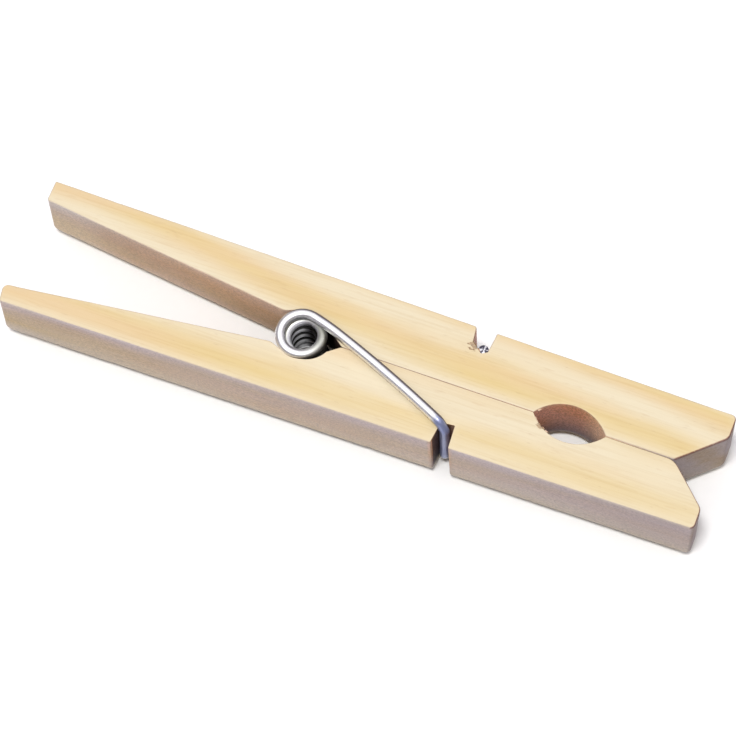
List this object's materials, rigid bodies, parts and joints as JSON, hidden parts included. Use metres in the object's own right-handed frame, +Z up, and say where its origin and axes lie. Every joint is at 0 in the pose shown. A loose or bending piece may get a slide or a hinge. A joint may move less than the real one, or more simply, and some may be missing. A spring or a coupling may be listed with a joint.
{
  "type": "clothespin",
  "caption": "Wooden spring clothespin: mirrored tapered levers, a coiled steel wire spring as pivot, V-shaped jaws and a lens-shaped line hole.",
  "frame": {"origin": "middle of the whole object's bottom, level with the underside of the spring's lower arm", "axes": "+X along the levers towards the jaws, +Y across the object towards the rear lever, +Z up along the axis of the spring's coil"},
  "size_m": [0.0826, 0.0158, 0.011],
  "materials": {
    "front_wood": "bare sanded pale hardwood",
    "rear_wood": "bare sanded pale hardwood",
    "spring_wire": "bright zinc plate"
  },
  "bodies": {
    "front_lever": {"front_lever": "front_wood", "spring_front_arm": "spring_wire"},
    "rear_lever": {"rear_lever": "rear_wood", "spring_rear_arm": "spring_wire"},
    "spring_coil": {"spring_coil": "spring_wire"}
  },
  "joints": [
    {"name": "lever_hinge", "type": "hinge", "parent": "front_lever", "child": "rear_lever", "pos_m": [-0.00725, 0, 0.0055], "axis": [0, 0, 1], "range_deg": [0, 18], "stiffness_Nm_per_rad": 0.14, "springref_deg": -45.84},
    {"name": "coil_turn", "type": "hinge", "parent": "front_lever", "child": "spring_coil", "pos_m": [-0.00725, 0, 0.0055], "axis": [0, 0, 1], "range_deg": [0, 9]}
  ],
  "couplings": [
    {"joint": "coil_turn", "follows": "lever_hinge", "ratio": 0.5}
  ]
}
